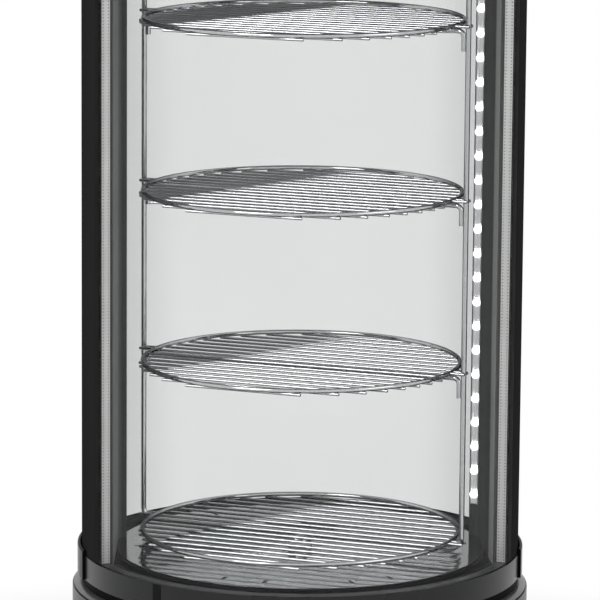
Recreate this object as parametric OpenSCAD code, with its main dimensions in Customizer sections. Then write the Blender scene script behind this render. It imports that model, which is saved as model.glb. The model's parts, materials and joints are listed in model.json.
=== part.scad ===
// Round countertop cake display case, refrigerated, seen from all sides.
// Origin: centre of the footprint on the table. +Z up, the glass front faces -Y, +X is the
// right-hand side for someone who stands in front. All sizes are millimetres.
// Bearings are degrees from +X, turning towards the back (+Y).

/* [Cabinet] */
// Height of the cold floor above the table
floor_z = 228; // [222:1:250]
// Height from the cold floor to the ceiling
clear_h = 712; // [690:0.5:760]
// Outer radius of the front glass
glass_r = 221.5; // [216:0.5:230]
// Thickness of each glass pane
pane_t = 4; // [3:0.5:5]
// Gap between the two panes of the front glass
cavity_w = 11; // [9:0.5:14]
// Depth that the glass stands into its groove
glass_seat = 12; // [9:1:15]
// Angle between a post's front edge and the side line
post_front_a = 20.2; // [18:0.1:24]
// Angle between a post's back edge and the side line
post_back_a = 15.3; // [13:0.1:17]
// How far the posts reach in past the inner pane
post_depth = 21.6; // [20:0.1:24]
// Width of the slanted face at a post's inner back corner
post_face_w = 12.4; // [12.4:0.1:14]
// Clearance between fixed pieces that slip together
fit = 0.3; // [0.2:0.05:0.5]

/* [Base] */
// How far the casing stands out past the glass
case_overhang = 9.5; // [8:0.5:14]
// Thickness of the sheet metal casing and cap
case_t = 1.5; // [1:0.1:2]
// Height of the rubber feet
foot_h = 16; // [12:1:25]
// Radius of the rubber feet
foot_r = 18; // [14:1:20]
// Distance of the feet's centres from the edge of the base
foot_inset = 41; // [39:1:51]
// Width of the flanges at the casing's upper and lower edges
case_flange = 10; // [8:0.5:18]
// Width of the base rings, inward from the face of the glass
ring_w = 15.5; // [14:0.5:17]
// Thickness of the base pan
pan_t = 2; // [1.5:0.5:3]
// Height of the metal apron below the glass
apron_h = 24; // [20:1:28]
// Thickness of the metal apron
apron_t = 1.2; // [0.8:0.1:1.5]
// Height of the black rim below the apron
rim_h = 8; // [7:0.5:12]
// Height of the sloping shoulder of the base
shoulder_h = 4; // [3:0.5:6]
// Dark groove between the shoulder and the casing
groove_h = 1.2; // [0.8:0.1:2]
// Drop of the black sill below the cold floor
sill_drop = 4; // [3:0.5:5]
// Width of the black sill inside the glass
sill_w = 15.5; // [14:0.5:18]
// Thickness of the steel floor and ceiling plates
plate_t = 1.5; // [1:0.1:2]
// Arc of the left front apron, up to the seam
left_apron_a = 37.3; // [28:0.1:48]
// Height of the corner covers above the cold floor
cover_rise = 6; // [4:1:12]
// Thickness of the corner covers
cover_t = 4.2; // [3:0.1:5]

/* [Top] */
// Height of the top cap
cap_h = 20.8; // [18:0.2:40]
// Rounding radius of the cap's upper edge
cap_round = 7; // [4:0.5:10]

/* [Door] */
// Thickness of the curved rear door
door_t = 16; // [14:0.5:17]
// Thickness of each pane of the door
door_pane_t = 3; // [2:0.5:4]
// Step of the door behind the front glass radius
door_step = 1.5; // [1:0.5:3]
// Height of the thin channel along the door's bottom and top edges
door_channel_h = 4; // [3.5:0.5:8]
// Gap between the door and the sill it passes over
door_gap = 0.6; // [0.4:0.1:1]
// Width of the door's free stile, in degrees of arc
free_stile_a = 6.6; // [6:0.1:7]
// Radius of the hinge pins
hinge_pin_r = 3.5; // [3:0.25:4]
// Running clearance round pins and shafts
running = 0.06; // [0.02:0.01:0.1]
// Length of the handle's grip
handle_l = 130; // [100:5:180]
// Space for the fingers behind the grip
handle_gap = 19; // [16:0.5:20]
// Radius of the handle's grip
grip_r = 4; // [3.5:0.25:4.5]

/* [Shelves] */
// Height of the lowest shelf's ring above the cold floor
shelf_1_h = 17.5; // [17:0.5:24]
// Distance between one shelf and the next
shelf_pitch = 173.5; // [150:0.5:185]
// Number of shelves
shelf_count = 4; // [4:1:4]
// Angle that the stopped rack is turned, from the left-right line
rack_turn = 24.8; // [0:0.1:40]
// Gap between the turning uprights and the posts
rack_gap = 4; // [3:0.5:6]
// Diameter of the rack's upright wires
upright_d = 5.5; // [5:0.25:6.5]
// Gap between the uprights and the shelf rings
shelf_gap = 9; // [7:0.5:12]
// Diameter of a shelf's ring wire
ring_d = 4.6; // [4:0.2:5.4]
// Diameter of a shelf's grid wires
grid_d = 3; // [2.6:0.2:3.6]
// Distance between the grid wires
grid_pitch = 17; // [16:0.5:20]
// Bend radius of the rack's corners
bend_r = 12; // [9:0.5:16]
// Radius of the drive shaft and of the top pivot
shaft_r = 3.5; // [3:0.25:5]

/* [Lighting] */
// Distance between the light points
led_pitch = 25; // [20:1:40]
// Number of light points
led_count = 27; // [27:1:27]
// Height of the lowest light point above the cold floor
led_1_h = 45.6; // [30:0.1:50]
// Width of the light channel
led_w = 10; // [8:0.5:10]
// Depth of the light channel
led_depth = 4; // [3:0.5:5]
// Side of each square light chip
chip_w = 5; // [3:0.5:5.5]

/* [Refrigeration] */
// Height of the insulated tub's underside
tub_z = 166; // [162:1:170]
// Thickness of the tub's bottom
tub_floor_t = 14; // [10:1:16]
// Thickness of the tub's side wall
tub_side_t = 34; // [30:1:41]
// Radius of the compressor
comp_r = 58; // [50:1:62]
// Height of the compressor's body
comp_h = 116; // [100:1:120]
// Height of the compressor's rubber mounts
mount_h = 12; // [8:1:14]
// Half length of the condenser between its end plates
cond_half_l = 98; // [90:1:104]
// Height of the condenser's fins
cond_h = 104; // [90:1:108]
// Side of the condenser fan's square frame
fan_w = 106; // [90:1:110]
// Width of the fan frame's rim at its narrowest
fan_rim = 5; // [4:0.5:9]

/* [Controls] */
// Bearing of the control panel
panel_a = 41; // [38:0.5:44]
// Width of the control panel
panel_w = 100; // [94:1:104]
// Height of the control panel
panel_h = 55; // [50:1:70]
// Bearing of the power inlet
inlet_a = 139; // [136:0.5:142]
// Width of the power inlet
inlet_w = 48; // [46:1:52]
// Height of the power inlet
inlet_h = 28; // [26:1:32]
// Travel of a push button
button_travel = 0.8; // [0.5:0.1:1.2]
// Radius of a push button
button_r = 3.5; // [3:0.25:4.5]

/* [Drip tray] */
// Width of the drip tray
tray_w = 110; // [90:1:112]
// Length of the drip tray
tray_l = 138; // [110:1:150]
// Height of the drip tray
tray_h = 22; // [16:1:22]

/* [Hidden] */
$fn = 96;

// Heights of the base, from the cold floor down
ceiling_z = floor_z + clear_h;
sill_z = floor_z - sill_drop;
apron_z = floor_z - apron_h;
rim_z = apron_z - rim_h;
shoulder_z = rim_z - shoulder_h;
case_top_z = shoulder_z - groove_h;
glass_z = floor_z - glass_seat;
apron_lip = 0.5;
flange_w = 19;
pan_top_z = foot_h + pan_t;

// Radii, from the glass in and out
cavity_r = glass_r - pane_t;
inner_pane_r = cavity_r - cavity_w;
clear_r = inner_pane_r - pane_t;
deck_in_r = clear_r - sill_w;
plate_r = deck_in_r - 0.5;
apron_in_r = glass_r + fit;
apron_r = apron_in_r + apron_t;
case_r = glass_r + case_overhang;
rim_r = apron_r - 1;
cover_r = apron_in_r + cover_t;
deck_back_r = apron_r + 2;
ring_in_r = glass_r - ring_w;
tub_in_r = ring_in_r - tub_side_t;
foot_ring_r = case_r - foot_inset;
tub_flange_r = ring_in_r + 6;
tub_flange_t = 3;
post_in_r = clear_r - post_depth;

// Bearings of the post ends, aprons and corner covers
glass_edge_a = post_front_a + 0.15;
cover_front_a = 12;
cover_back_a = 12.8;
apron_edge_a = cover_front_a + 0.2;
seam_a = 180 + apron_edge_a + left_apron_a;
seam_w = 0.4;

// The rack and its shelves
upright_r = post_in_r - rack_gap - upright_d / 2;
shelf_r = upright_r - upright_d / 2 - shelf_gap - ring_d / 2;
rod_d = 5;
rest_gap = 0.1;
weld = 0.6;
bar_z = floor_z + shelf_1_h - ring_d / 2 - rest_gap - upright_d / 2;
top_bar_z = ceiling_z - 14;
bush_flange_r = 12;
bush_flange_h = 4;
bush_neck_r = 8;
thrust_gap = 0.5;
hub_r = 12;
hub_z = floor_z + bush_flange_h + thrust_gap;
socket_h = 4.4;

// The door
door_r = glass_r - door_step;
door_in_r = door_r - door_t;
door_mid_r = door_r - door_t / 2;
door_z = sill_z + door_gap;
door_top_z = ceiling_z + sill_drop - door_gap;
hinge_gap = 0.9;
hinge_a = 180 - post_back_a - asin((door_t / 2 + hinge_gap) / door_mid_r);
hinge_block_a = 3.2;
free_edge_a = post_back_a + 0.6;
stile_in_a = free_edge_a + free_stile_a;
hinge_in_a = hinge_a - hinge_block_a;
handle_a = free_edge_a + free_stile_a * 0.77;
handle_r = door_r + handle_gap + grip_r;
handle_z = floor_z + clear_h / 2;
stem_r = 3.5;
pin_l = 20;

// The screws of the cap
screw_r = 2;
screw_inset = 16;
screw_ring_r = case_r - screw_inset;
screw_seat = 8;

// The controls
panel_x = sqrt(pow(case_r, 2) - pow(panel_w / 2, 2)) + 0.4;
panel_t = 14;
panel_z = 122;
switch_w = 12;
switch_h = 17;
switch_d = 9;
switch_tilt = 8;
switch_room = 1;
switch_pin_r = 1.5;
switch_pin_l = 1.5;
switch_x = panel_x - 3.5;
power_y = -panel_w / 2 + 13;
light_y = power_y + 19;
button_y = [4, 20, 36];
button_z = panel_z - 14;
button_l = 8;
button_proud = 1.6;
display_w = 42;
display_h = 18;
display_y = button_y[1];
display_z = panel_z + 9;

// The machine space
grille_a = 32;
grille_z = 52;
grille_top_z = case_top_z - 12;
tray_z = pan_top_z + fit;
tray_a = asin((tray_w / 2 + 2) / case_r);
comp_x = -108;
comp_y = -42;
comp_z = pan_top_z + mount_h;
comp_plate_t = 3;
box_x = 70;
box_y = -100;
box_l = 80;
box_w = 62;
box_h = 70;
cond_inset = 81;
cond_y = case_r - cond_inset;
cond_d = 38;
cond_z = pan_top_z + tray_h + 6;
cond_plate_t = 1.5;
fan_y = cond_y - cond_d;
fan_r = fan_w / 2 - fan_rim;
fan_d = 30;
fan_z = cond_z + fan_w / 2;
fan_hub_r = 19;
fan_pin_r = 2.5;
evap_y = 70;
evap_d = 56;
evap_half_l = 88;
evap_h = 30;
tub_in_z = tub_z + tub_floor_t;
blower_r = 50;
blower_h = 34;
blower_y = -80;
blower_pin_r = 2.5;
pipe_r = 3;
pipe_z = tub_z - 8;
pipe_x = 106;
evap_pipe_z = tub_in_z + evap_h / 2;

function polar(r, a) = [r * cos(a), r * sin(a)];

// A section in the radius-height plane, swept from one bearing to another
module sweep(from, to) {
    rotate([0, 0, from]) rotate_extrude(angle = to - from) children();
}

// A plain curved wall
module wall(r1, r2, z1, z2, from, to) {
    sweep(from, to) translate([r1, z1]) square([r2 - r1, z2 - z1]);
}

// A full ring with a rectangular section
module band(r1, r2, z1, z2) {
    rotate_extrude() translate([r1, z1]) square([r2 - r1, z2 - z1]);
}

// The mirror image at the ceiling of what is at the floor
module at_top() {
    translate([0, 0, floor_z + ceiling_z]) mirror([0, 0, 1]) children();
}

module both_sides() {
    children();
    mirror([1, 0, 0]) children();
}

// A frame that looks out of the casing at a bearing: X out, Y along the casing
module facing(a) {
    rotate([0, 0, a]) children();
}

module upright_rod(r, z1, z2) {
    translate([0, 0, z1]) cylinder(r = r, h = z2 - z1);
}

module rod_x(r, x1, x2) {
    translate([x1, 0, 0]) rotate([0, 90, 0]) cylinder(r = r, h = x2 - x1);
}

// A tube of straight runs between the points, with a brazed ball joint at each bend
module tube_run(points, r) {
    for (i = [0 : len(points) - 2]) {
        run = points[i + 1] - points[i];
        turn = atan2(run[1], run[0]);
        lean = acos(run[2] / norm(run));
        translate(points[i]) rotate([0, lean, turn]) cylinder(r = r, h = norm(run), $fn = 32);
    }
    if (len(points) > 2) for (i = [1 : len(points) - 2]) translate(points[i]) sphere(r = r + 0.5, $fn = 32);
}

module feet() {
    color("#1b1b1b") for (a = [45 : 90 : 315]) rotate([0, 0, a]) translate([foot_ring_r, 0, 0]) {
        difference() {
            union() {
                cylinder(r1 = foot_r - 2, r2 = foot_r, h = 4);
                translate([0, 0, 4]) cylinder(r = foot_r, h = foot_h - 4);
            }
            translate([0, 0, -1]) cylinder(r = foot_r / 3, h = foot_h / 2);
        }
    }
}

module base_pan() {
    slot_l = 44;
    slot_w = 5;
    guide_t = 1.5;
    guide_h = 8;
    color("#8d9093") {
        difference() {
            translate([0, 0, foot_h]) cylinder(r = case_r - case_t - fit, h = pan_t);
            for (x = [-49 : 14 : 49]) translate([x - slot_w / 2, -170, foot_h - 1]) cube([slot_w, slot_l, pan_t + 2]);
        }
        both_sides() translate([tray_w / 2 + 1, cond_y - 60, pan_top_z])
            cube([guide_t, 120, guide_h]);
    }
}

// The wall of the base: a rolled sheet with flanges, louvres and cut-outs
module base_casing() {
    bottom_z = foot_h - case_t;
    louvre_w = 4;
    louvre_h = 60;
    color("#3a3b3d") difference() {
        rotate_extrude() difference() {
            translate([case_r - case_flange, bottom_z]) square([case_flange, case_top_z - bottom_z]);
            translate([case_r - case_flange - 1, foot_h])
                square([case_flange - case_t + 1, case_top_z - foot_h - case_t]);
        }
        wall(case_r - 6, case_r + 1, grille_z, grille_top_z, 90 - grille_a, 90 + grille_a);
        wall(case_r - 6, case_r + 1, pan_top_z + fit / 2, tray_z + tray_h + 1,
            90 - tray_a, 90 + tray_a);
        facing(panel_a) translate([case_r - 40, -panel_w / 2 - fit, panel_z - panel_h / 2 - fit])
            cube([60, panel_w + 2 * fit, panel_h + 2 * fit]);
        facing(inlet_a) translate([case_r - 30, -inlet_w / 2 - fit, inlet_z() - fit])
            cube([60, inlet_w + 2 * fit, inlet_h + 2 * fit]);
        for (side = [0, 180]) for (a = [-20 : 3.2 : 18.4]) rotate([0, 0, side + a])
            translate([case_r - 5, -louvre_w / 2, 70]) cube([10, louvre_w, louvre_h]);
    }
}

function inlet_z() = grille_z + 14;

module rear_grille() {
    slot_w = 6;
    edge = 14;
    lip = 5;
    lip_a = asin(lip / case_r);
    edge_a = asin(fit / case_r);
    in_r = case_r - case_t - 0.2;
    color("#2c2d2f") difference() {
        union() {
            wall(in_r - 0.1, case_r, grille_z + fit, grille_top_z - fit,
                90 - grille_a + edge_a, 90 + grille_a - edge_a);
            wall(in_r - 1.5, in_r, grille_z - lip, grille_top_z + lip,
                90 - grille_a - lip_a, 90 + grille_a + lip_a);
        }
        for (a = [-28 : 3.5 : 28]) rotate([0, 0, 90 + a])
            translate([case_r - 8, -slot_w / 2, grille_z + edge])
                cube([12, slot_w, grille_top_z - grille_z - 2 * edge]);
    }
}

// The switch opening in the panel, which the rocker turns in, and the bore of its pin
module switch_room_cut(y) {
    translate([switch_x, y, panel_z]) rotate([90, 0, 0])
        cylinder(r = switch_pin_r + running, h = switch_w + 2 * (switch_pin_l + fit), center = true);
    translate([switch_x - switch_d, y - switch_w / 2 - fit, panel_z - switch_h / 2 - switch_room])
        cube([switch_d + 10, switch_w + 2 * fit, switch_h + 2 * switch_room]);
}

module control_panel() {
    color("#202123") facing(panel_a) difference() {
        translate([panel_x - panel_t, -panel_w / 2, panel_z - panel_h / 2])
            cube([panel_t, panel_w, panel_h]);
        switch_room_cut(power_y);
        switch_room_cut(light_y);
        for (y = button_y) translate([panel_x + button_proud - button_l - button_travel - fit, y, button_z])
            rotate([0, 90, 0]) cylinder(r = button_r + running, h = button_l + 10);
        translate([panel_x - 0.8, display_y - display_w / 2, display_z - display_h / 2])
            cube([2, display_w, display_h]);
    }
}

// A rocker that rests tilted to its off side, on the pin in the panel's opening
module rocker(y) {
    facing(panel_a) translate([switch_x, y, panel_z]) {
        rotate([0, switch_tilt, 0]) difference() {
            translate([-switch_d / 2, -switch_w / 2, -switch_h / 2]) cube([switch_d, switch_w, switch_h]);
            for (m = [0, 1]) mirror([0, 0, m]) translate([switch_d / 2, -switch_w, 0])
                rotate([0, -switch_tilt, 0]) cube([switch_d, 2 * switch_w, switch_h]);
        }
        rotate([90, 0, 0]) cylinder(r = switch_pin_r, h = switch_w + 2 * switch_pin_l, center = true);
    }
}

module power_switch() {
    color("#b3201f") rocker(power_y);
}

module light_switch() {
    color("#2e8b3c") rocker(light_y);
}

module push_button(y) {
    color("#c9cbcd") facing(panel_a) translate([0, y, button_z])
        rod_x(button_r, panel_x + button_proud - button_l, panel_x + button_proud);
}

module button_set() {
    push_button(button_y[0]);
}

module button_up() {
    push_button(button_y[1]);
}

module button_down() {
    push_button(button_y[2]);
}

// A three-pin appliance inlet with its earth pin in the middle
module power_inlet() {
    body_d = 22;
    face_x = case_r - 0.2;
    recess_d = 15;
    recess_w = 24;
    recess_h = 16;
    pin_w = 4;
    pin_t = 2;
    color("#161616") facing(inlet_a) {
        difference() {
            translate([face_x - body_d, -inlet_w / 2, inlet_z()]) cube([body_d, inlet_w, inlet_h]);
            translate([face_x - recess_d, -recess_w / 2, inlet_z() + inlet_h / 2 - recess_h / 2])
                cube([recess_d + 1, recess_w, recess_h]);
        }
        for (p = [[-7, -2], [0, 3], [7, -2]])
            translate([face_x - recess_d - 1, p[0] - pin_t / 2, inlet_z() + inlet_h / 2 + p[1] - pin_w / 2])
                cube([8, pin_t, pin_w]);
    }
}

module shoulder_ring() {
    color("#55585b") rotate_extrude() polygon([[ring_in_r, case_top_z], [case_r - 3.5, case_top_z],
        [case_r - 3.5, shoulder_z], [case_r - 1, shoulder_z], [apron_r + 0.5, rim_z],
        [ring_in_r, rim_z]]);
}

module rim_section(outer) {
    difference() {
        translate([ring_in_r, rim_z]) square([outer - ring_in_r, rim_h]);
        translate([ring_in_r - 1, apron_z - tub_flange_t])
            square([tub_flange_r + fit - ring_in_r + 1, tub_flange_t + 1]);
    }
}

module base_rim() {
    color("#111111") rotate_extrude() rim_section(rim_r);
}

// The plan of a right-hand post: an arc outside, a slanted light face at the inner back corner
module post_plan(grow = 0) {
    back = polar(post_in_r - grow, post_back_a - 1.6);
    intersection() {
        circle(r = glass_r + grow, $fn = 180);
        polygon([polar(clear_r - grow, -post_front_a), polar(2 * glass_r, -post_front_a),
            polar(2 * glass_r, post_back_a), back,
            back + post_face_w * [cos(45), -sin(45)]]);
    }
}

// Room for the posts' feet in the plates and in the foam beside them
module post_notches() {
    both_sides() translate([0, 0, glass_z]) linear_extrude(height = glass_seat + 1) post_plan(fit);
}

// The black ring that carries the glass, the posts and the door's lower pin
module deck() {
    difference() {
        union() {
            band(deck_in_r, glass_r, apron_z, sill_z);
            wall(glass_r - 1, deck_back_r, apron_z, sill_z, cover_back_a + 0.2, 180 - cover_back_a - 0.2);
        }
        wall(clear_r - fit, glass_r + 2, glass_z, floor_z, 180 + glass_edge_a - 0.1,
            360 - glass_edge_a + 0.1);
        both_sides() translate([0, 0, glass_z]) linear_extrude(height = glass_seat) post_plan(fit / 2);
        rotate([0, 0, hinge_a]) translate([door_mid_r, 0, sill_z - 12])
            cylinder(r = hinge_pin_r + 0.02, h = 20);
    }
}

module base_deck() {
    color("#141414") deck();
}

// The foam tub that holds the evaporator below the cold floor
module cold_tub() {
    wall_r = ring_in_r - fit;
    color("#e6e3da") difference() {
        rotate_extrude() difference() {
            union() {
                translate([0, tub_z]) square([wall_r, apron_z - tub_flange_t - tub_z]);
                translate([0, apron_z - tub_flange_t]) square([tub_flange_r, tub_flange_t]);
                translate([0, apron_z - 1])
                    square([deck_in_r - fit, floor_z - plate_t - apron_z + 1]);
            }
            translate([-1, tub_in_z]) square([tub_in_r + 1, floor_z - tub_in_z]);
        }
        both_sides() translate([pipe_x, evap_y + evap_d / 2, tub_z - 1])
            cylinder(r = pipe_r + fit, h = tub_floor_t + 2);
        post_notches();
    }
}

// The polished steel floor, with air slots near its edge and a hole for the drive
module floor_plate() {
    slot_l = 12;
    slot_w = 3;
    color("#b9bcbf") difference() {
        band(bush_neck_r + fit, plate_r, floor_z - plate_t, floor_z);
        for (a = [-75 : 15 : 75]) both_sides() rotate([0, 0, a])
            translate([tub_in_r - slot_l - 3, -slot_w / 2, floor_z - plate_t - 1])
                cube([slot_l, slot_w, plate_t + 2]);
        post_notches();
    }
}

// A flanged bearing bush in the floor, and its mirror image in the ceiling
module rack_bushes() {
    color("#d8d8d0") for (top = [0, 1]) translate([0, 0, top * (floor_z + ceiling_z)])
        mirror([0, 0, top]) difference() {
            union() {
                translate([0, 0, floor_z]) cylinder(r = bush_flange_r, h = bush_flange_h);
                translate([0, 0, floor_z - plate_t]) cylinder(r = bush_neck_r, h = plate_t + 1);
            }
            translate([0, 0, floor_z - plate_t - 1])
                cylinder(r = shaft_r + running, h = bush_flange_h + plate_t + 2);
        }
}

module rack_motor() {
    motor_r = 27;
    motor_h = 24;
    ear_r = 6;
    color("#b8b39a") difference() {
        union() {
            translate([0, 0, floor_z - plate_t - motor_h]) cylinder(r = motor_r, h = motor_h);
            for (x = [-1, 1]) translate([x * (motor_r + 2), 0, floor_z - plate_t - 3])
                cylinder(r = ear_r, h = 3);
        }
        translate([0, 0, floor_z - plate_t - 20]) cylinder(r = shaft_r + running, h = 30);
    }
}

// A block of fins on a flat coil, between two end plates. Length along X, from y = 0.
module finned_coil(half_l, d, h, fins, rows, foot) {
    tube_r = 4;
    fin_t = 0.8;
    step = (2 * half_l - 20) / (fins - 1);
    for (i = [0 : fins - 1]) translate([-half_l + 10 + i * step - fin_t / 2, 0, 0]) cube([fin_t, d, h]);
    for (i = [0 : rows - 1]) translate([0, d / 2, (i + 0.5) * h / rows])
        rod_x(tube_r, -half_l + 0.5, half_l - 0.5, $fn = 32);
    both_sides() translate([half_l - cond_plate_t, 0, -foot]) cube([cond_plate_t, d, h + foot]);
}

module evaporator() {
    color("#c7cacc") translate([0, evap_y, tub_in_z + 2]) finned_coil(evap_half_l, evap_d, evap_h, 13, 2, 2);
}

module condenser() {
    port_x = cond_half_l - 5;
    color("#9a9c9e") {
        translate([0, cond_y, cond_z]) finned_coil(cond_half_l, cond_d, cond_h, 17, 5, cond_z - pan_top_z);
        both_sides() translate([port_x, cond_y + cond_d / 2, cond_z + cond_h - 10])
            cylinder(r = pipe_r, h = 14, $fn = 32);
        both_sides() translate([port_x - 5, cond_y, cond_z + cond_h - 8]) cube([11, cond_d, 8]);
    }
}

// The square frame with its bore, the motor on three arms and the pin that carries the blades
module condenser_fan_frame() {
    arm_w = 6;
    arm_t = 4;
    leg_out = 8;
    leg_t = 4;
    color("#222324") translate([0, fan_y, fan_z]) {
        difference() {
            translate([-fan_w / 2, 0, -fan_w / 2]) cube([fan_w, fan_d, fan_w]);
            translate([0, -1, 0]) rotate([-90, 0, 0]) cylinder(r = fan_r + 2, h = fan_d + 2);
        }
        translate([0, fan_d - arm_t - 1, 0]) rotate([-90, 0, 0]) cylinder(r = fan_hub_r, h = arm_t);
        for (a = [90, 210, 330]) rotate([0, a, 0]) translate([fan_hub_r - 4, fan_d - arm_t - 0.5, -arm_w / 2])
            cube([fan_r + 7.5 - fan_hub_r, arm_t - 1, arm_w]);
        translate([0, 4, 0]) rotate([-90, 0, 0]) cylinder(r = fan_pin_r, h = fan_d - arm_t - 3, $fn = 48);
        both_sides() translate([fan_w / 2 - 4, 4, -fan_w / 2]) cube([leg_out + leg_t + 4, 20, leg_t]);
        both_sides() translate([fan_w / 2 + leg_out, 4, pan_top_z - fan_z])
            cube([leg_t, 20, fan_z - fan_w / 2 - pan_top_z + leg_t]);
    }
}

module condenser_fan_blades() {
    blade_t = 1.6;
    blade_w = 20;
    hub_l = 17;
    color("#3b3d40") translate([0, fan_y + 5, fan_z]) difference() {
        union() {
            rotate([-90, 0, 0]) cylinder(r = fan_hub_r, h = hub_l);
            for (i = [0 : 4]) rotate([0, i * 72, 0]) translate([fan_hub_r - 3, hub_l / 2, 0])
                rotate([35, 0, 0]) translate([0, -blade_t / 2, -blade_w / 2])
                    cube([fan_r - 2 - fan_hub_r, blade_t, blade_w]);
        }
        translate([0, -1, 0]) rotate([-90, 0, 0]) cylinder(r = fan_pin_r + running, h = hub_l + 2, $fn = 48);
    }
}

// A flat blower that pushes cold air up through the floor slots
module evaporator_fan_housing() {
    wall_t = 2;
    color("#e4e6e8") translate([0, blower_y, tub_in_z]) {
        difference() {
            cylinder(r = blower_r, h = blower_h);
            translate([0, 0, wall_t]) cylinder(r = blower_r - wall_t, h = blower_h - 2 * wall_t);
            translate([0, 0, blower_h - wall_t - 1]) cylinder(r = blower_r * 0.64, h = wall_t + 2);
            translate([-blower_r - 1, -14, 6]) cube([12, 28, blower_h - 12]);
        }
        translate([0, 0, wall_t - 0.5]) cylinder(r = blower_pin_r, h = blower_h - wall_t - 6, $fn = 48);
    }
}

module evaporator_fan_wheel() {
    wheel_r = blower_r - 9;
    wheel_h = 22;
    vane_l = 10;
    color("#f2f2f2") translate([0, blower_y, tub_in_z + 4]) difference() {
        union() {
            cylinder(r = wheel_r, h = 2);
            cylinder(r = 9, h = wheel_h);
            for (i = [0 : 15]) rotate([0, 0, i * 22.5]) translate([wheel_r - vane_l - 1, -0.8, 1])
                cube([vane_l, 1.6, wheel_h - 1]);
        }
        translate([0, 0, -1]) cylinder(r = blower_pin_r + running, h = wheel_h + 2, $fn = 48);
    }
}

// A rounded steel shell on its foot plate, with two stubs on top for the pipes
module compressor() {
    round_r = 24;
    color("#17181a") translate([comp_x, comp_y, comp_z]) {
        rotate_extrude() {
            square([comp_r - round_r, comp_h]);
            translate([0, round_r]) square([comp_r, comp_h - 2 * round_r]);
            intersection() {
                union() {
                    translate([comp_r - round_r, round_r]) circle(r = round_r);
                    translate([comp_r - round_r, comp_h - round_r]) circle(r = round_r);
                }
                square([comp_r, comp_h]);
            }
        }
        translate([-comp_r - 4, -comp_r + 8, 0]) cube([2 * comp_r + 8, 2 * comp_r - 16, comp_plate_t]);
        translate([comp_r - 6, -14, 40]) cube([18, 28, 36]);
        for (x = [-15, 15]) translate([x, 0, comp_h - 1]) cylinder(r = pipe_r, h = 5, $fn = 32);
    }
}

module compressor_mounts() {
    color("#202020") translate([comp_x, comp_y, pan_top_z])
        for (x = [-1, 1], y = [-1, 1]) translate([x * (comp_r - 6), y * (comp_r - 16), 0])
            cylinder(r = 9, h = mount_h);
}

// Discharge pipe, liquid line with its filter, and suction pipe
module refrigerant_pipes() {
    port_x = cond_half_l - 5;
    port_y = cond_y + cond_d / 2;
    port_z = cond_z + cond_h + 4;
    comp_port_z = comp_z + comp_h + 4;
    hole_y = evap_y + evap_d / 2;
    filter_a = [port_x, port_y - 30, pipe_z];
    filter_b = [port_x, port_y - 90, pipe_z];
    color("#b87333") {
        tube_run([[comp_x + 15, comp_y, comp_port_z], [comp_x + 15, comp_y, pipe_z],
            [-port_x, port_y, pipe_z], [-port_x, port_y, port_z]], pipe_r);
        tube_run([[port_x, port_y, port_z], [port_x, port_y, pipe_z], [port_x, hole_y, pipe_z],
            [pipe_x, hole_y, pipe_z], [pipe_x, hole_y, evap_pipe_z],
            [evap_half_l, hole_y, evap_pipe_z]], pipe_r);
        tube_run([[-evap_half_l, hole_y, evap_pipe_z], [-pipe_x, hole_y, evap_pipe_z],
            [-pipe_x, hole_y, pipe_z], [comp_x - 15, hole_y, pipe_z],
            [comp_x - 15, comp_y, pipe_z], [comp_x - 15, comp_y, comp_port_z]], pipe_r);
        tube_run([filter_a, filter_b], 7);
    }
}

module control_box() {
    color("#c4c6c8") translate([box_x, box_y, pan_top_z]) cube([box_l, box_w, box_h]);
}

module drip_tray() {
    tray_t = 1.5;
    front_y = sqrt(pow(case_r - 12, 2) - pow(tray_w / 2, 2));
    pull_w = 40;
    color("#d4d6d8") {
        difference() {
            translate([-tray_w / 2, front_y - tray_l, tray_z]) cube([tray_w, tray_l, tray_h - 2]);
            translate([-tray_w / 2 + tray_t, front_y - tray_l + tray_t, tray_z + tray_t])
                cube([tray_w - 2 * tray_t, tray_l - 2 * tray_t, tray_h]);
        }
        difference() {
            intersection() {
                translate([0, 0, tray_z]) cylinder(r = case_r, h = tray_h);
                translate([-tray_w / 2 - 1, front_y - tray_t - 1, 0]) cube([tray_w + 2, 60, 100]);
            }
            translate([-pull_w / 2, front_y + 2, tray_z + 8]) cube([pull_w, 40, tray_h]);
        }
    }
}

// The metal apron below the front glass: the seam splits it in two
module apron_sheet(from, to) {
    wall(apron_in_r, apron_r, apron_z, floor_z + apron_lip, from, to);
}

module apron_left() {
    color("#6a6d70") apron_sheet(180 + apron_edge_a, seam_a - asin(seam_w / apron_r));
}

module apron_front() {
    color("#505356") apron_sheet(seam_a, 360 - apron_edge_a);
}

module corner_cover_section() {
    round_r = cover_t / 2;
    translate([apron_in_r, apron_z]) square([cover_t, apron_h + cover_rise - round_r]);
    translate([apron_in_r + round_r, floor_z + cover_rise - round_r]) circle(r = round_r, $fn = 48);
}

// Black covers round the lower and upper ends of the posts
module corner_covers() {
    color("#141414") for (top = [0, 1]) translate([0, 0, top * (floor_z + ceiling_z)])
        mirror([0, 0, top]) both_sides() sweep(-cover_front_a, cover_back_a) corner_cover_section();
}

module pane(r) {
    wall(r - pane_t, r, glass_z, ceiling_z + glass_seat, 180 + glass_edge_a, 360 - glass_edge_a);
}

module outer_pane() {
    color("#dfeceb", 0.25) pane(glass_r);
}

module inner_pane() {
    color("#dfeceb", 0.25) pane(inner_pane_r);
}

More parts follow.
